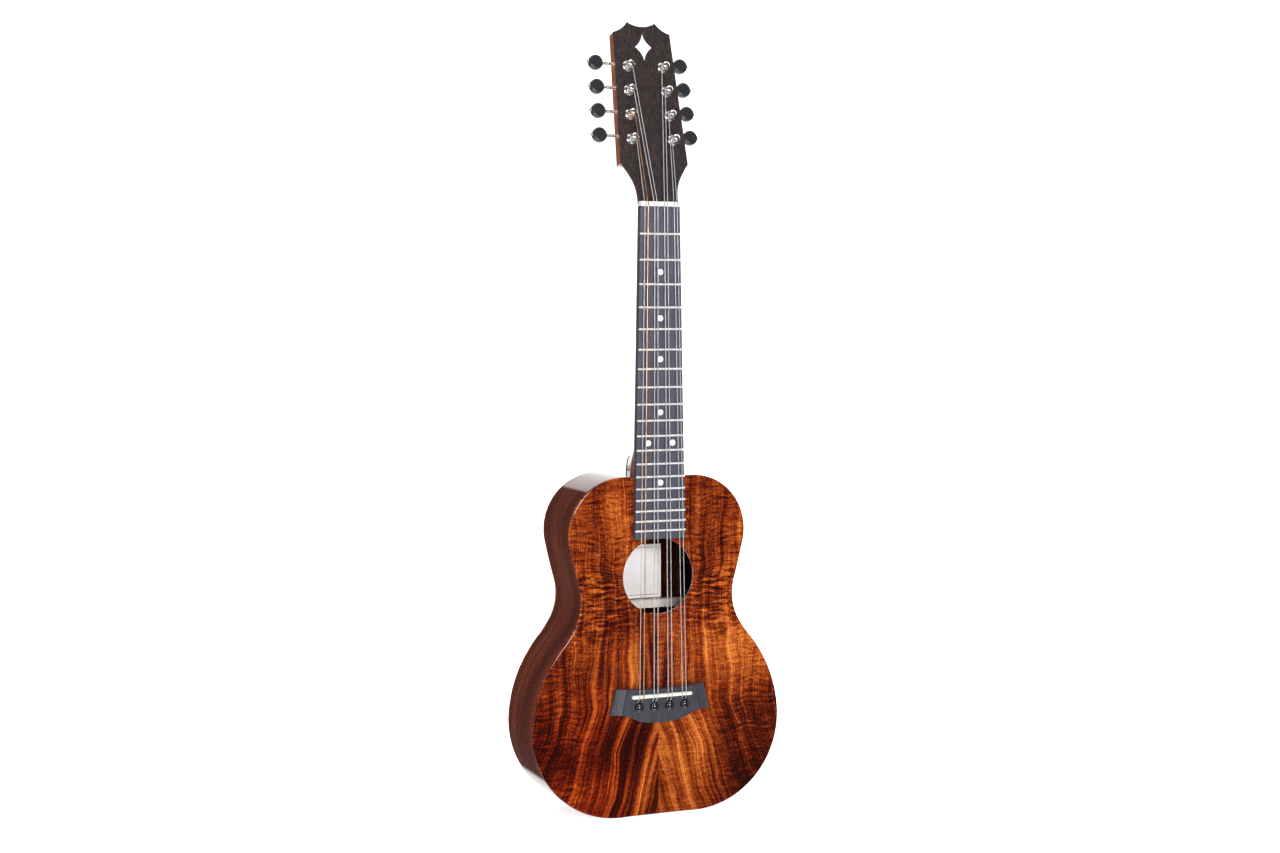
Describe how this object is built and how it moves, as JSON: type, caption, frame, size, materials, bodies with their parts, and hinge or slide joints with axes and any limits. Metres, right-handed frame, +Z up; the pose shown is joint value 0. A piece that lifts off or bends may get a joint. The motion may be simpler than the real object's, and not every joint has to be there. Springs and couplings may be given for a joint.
{
  "type": "eight-string tenor ukulele",
  "caption": "Tenor ukulele with paired strings, glossy figured-wood body, round soundhole, pin bridge, tilted headstock and open worm-geared tuners.",
  "frame": {"origin": "on the centre line at the nut's front edge, in the glue plane between fretboard and neck, where a hanger's yoke carries the headstock", "axes": "+Z up the neck to the headstock, +Y from the face into the body, +X to the treble side"},
  "size_m": [0.24, 0.0798, 0.7124],
  "materials": {
    "koa_top": "high-gloss lacquered figured koa",
    "koa_side": "high-gloss lacquered dark koa",
    "mahogany": "satin lacquered mahogany",
    "pale_wood": "bare light brace wood",
    "dark_veneer": "satin dark veneer",
    "fret_wood": "satin black fretboard wood",
    "bridge_wood": "satin black bridge wood",
    "nickel": "polished nickel",
    "fret_wire": "polished fret wire",
    "bone": "polished bone",
    "pearl": "polished mother-of-pearl",
    "dot": "polished pearl dots",
    "black_pin": "glossy black",
    "black_button": "semi-gloss black",
    "paper": "plain white paper label",
    "carbon_bar": "carbon fibre bar",
    "bolt_steel": "plated steel",
    "clear_string": "clear fluorocarbon",
    "wound_string": "copper winding"
  },
  "bodies": {
    "instrument": {"soundboard": "koa_top", "back": "koa_side", "side_bass": "koa_side", "side_treble": "koa_side", "linings": "pale_wood", "neck_block": "mahogany", "tail_block": "mahogany", "top_braces": "pale_wood", "back_braces": "pale_wood", "bridge_plate": "pale_wood", "label": "paper", "neck": "mahogany", "neck_bar": "carbon_bar", "neck_bolts": "bolt_steel", "heel_cap": "koa_side", "headstock_veneer": "dark_veneer", "headstock_inlay": "pearl", "fretboard": "fret_wood", "frets": "fret_wire", "position_dots": "dot", "nut": "bone", "bridge": "bridge_wood", "saddle": "bone", "bridge_pins": "black_pin", "tuner_plates": "nickel", "tuner_bushings": "nickel", "tuner_screws": "nickel", "string_1": "clear_string", "string_2": "wound_string", "string_3": "clear_string", "string_4": "clear_string", "string_5": "clear_string", "string_6": "clear_string", "string_7": "clear_string", "string_8": "clear_string"},
    "button_1": {"worm_shaft_1": "nickel", "tuner_button_1": "black_button"},
    "post_1": {"string_post_1": "nickel"},
    "button_2": {"worm_shaft_2": "nickel", "tuner_button_2": "black_button"},
    "post_2": {"string_post_2": "nickel"},
    "button_3": {"worm_shaft_3": "nickel", "tuner_button_3": "black_button"},
    "post_3": {"string_post_3": "nickel"},
    "button_4": {"worm_shaft_4": "nickel", "tuner_button_4": "black_button"},
    "post_4": {"string_post_4": "nickel"},
    "button_5": {"worm_shaft_5": "nickel", "tuner_button_5": "black_button"},
    "post_5": {"string_post_5": "nickel"},
    "button_6": {"worm_shaft_6": "nickel", "tuner_button_6": "black_button"},
    "post_6": {"string_post_6": "nickel"},
    "button_7": {"worm_shaft_7": "nickel", "tuner_button_7": "black_button"},
    "post_7": {"string_post_7": "nickel"},
    "button_8": {"worm_shaft_8": "nickel", "tuner_button_8": "black_button"},
    "post_8": {"string_post_8": "nickel"}
  },
  "joints": [
    {"name": "button_1_turn", "type": "hinge", "parent": "instrument", "child": "button_1", "pos_m": [-0.01959, 0.02983, 0.06319], "axis": [-0.9991, 0.0101, 0.0406], "continuous": true},
    {"name": "post_1_turn", "type": "hinge", "parent": "instrument", "child": "post_1", "pos_m": [-0.0199, 0.01298, 0.05967], "axis": [0, -0.9703, 0.2419], "continuous": true},
    {"name": "button_2_turn", "type": "hinge", "parent": "instrument", "child": "button_2", "pos_m": [-0.01864, 0.03532, 0.0852], "axis": [-0.9991, 0.0101, 0.0406], "continuous": true},
    {"name": "post_2_turn", "type": "hinge", "parent": "instrument", "child": "post_2", "pos_m": [-0.01895, 0.01846, 0.08168], "axis": [0, -0.9703, 0.2419], "continuous": true},
    {"name": "button_3_turn", "type": "hinge", "parent": "instrument", "child": "button_3", "pos_m": [-0.01768, 0.0408, 0.10721], "axis": [-0.9991, 0.0101, 0.0406], "continuous": true},
    {"name": "post_3_turn", "type": "hinge", "parent": "instrument", "child": "post_3", "pos_m": [-0.018, 0.02395, 0.10369], "axis": [0, -0.9703, 0.2419], "continuous": true},
    {"name": "button_4_turn", "type": "hinge", "parent": "instrument", "child": "button_4", "pos_m": [-0.01673, 0.04629, 0.12921], "axis": [-0.9991, 0.0101, 0.0406], "continuous": true},
    {"name": "post_4_turn", "type": "hinge", "parent": "instrument", "child": "post_4", "pos_m": [-0.01705, 0.02944, 0.12569], "axis": [0, -0.9703, 0.2419], "continuous": true},
    {"name": "button_5_turn", "type": "hinge", "parent": "instrument", "child": "button_5", "pos_m": [0.01959, 0.02983, 0.06319], "axis": [0.9991, 0.0101, 0.0406], "continuous": true},
    {"name": "post_5_turn", "type": "hinge", "parent": "instrument", "child": "post_5", "pos_m": [0.0199, 0.01298, 0.05967], "axis": [0, -0.9703, 0.2419], "continuous": true},
    {"name": "button_6_turn", "type": "hinge", "parent": "instrument", "child": "button_6", "pos_m": [0.01864, 0.03532, 0.0852], "axis": [0.9991, 0.0101, 0.0406], "continuous": true},
    {"name": "post_6_turn", "type": "hinge", "parent": "instrument", "child": "post_6", "pos_m": [0.01895, 0.01846, 0.08168], "axis": [0, -0.9703, 0.2419], "continuous": true},
    {"name": "button_7_turn", "type": "hinge", "parent": "instrument", "child": "button_7", "pos_m": [0.01768, 0.0408, 0.10721], "axis": [0.9991, 0.0101, 0.0406], "continuous": true},
    {"name": "post_7_turn", "type": "hinge", "parent": "instrument", "child": "post_7", "pos_m": [0.018, 0.02395, 0.10369], "axis": [0, -0.9703, 0.2419], "continuous": true},
    {"name": "button_8_turn", "type": "hinge", "parent": "instrument", "child": "button_8", "pos_m": [0.01673, 0.04629, 0.12921], "axis": [0.9991, 0.0101, 0.0406], "continuous": true},
    {"name": "post_8_turn", "type": "hinge", "parent": "instrument", "child": "post_8", "pos_m": [0.01705, 0.02944, 0.12569], "axis": [0, -0.9703, 0.2419], "continuous": true}
  ],
  "couplings": [
    {"joint": "post_1_turn", "follows": "button_1_turn", "ratio": -0.071429},
    {"joint": "post_2_turn", "follows": "button_2_turn", "ratio": -0.071429},
    {"joint": "post_3_turn", "follows": "button_3_turn", "ratio": -0.071429},
    {"joint": "post_4_turn", "follows": "button_4_turn", "ratio": -0.071429},
    {"joint": "post_5_turn", "follows": "button_5_turn", "ratio": 0.071429},
    {"joint": "post_6_turn", "follows": "button_6_turn", "ratio": 0.071429},
    {"joint": "post_7_turn", "follows": "button_7_turn", "ratio": 0.071429},
    {"joint": "post_8_turn", "follows": "button_8_turn", "ratio": 0.071429}
  ]
}
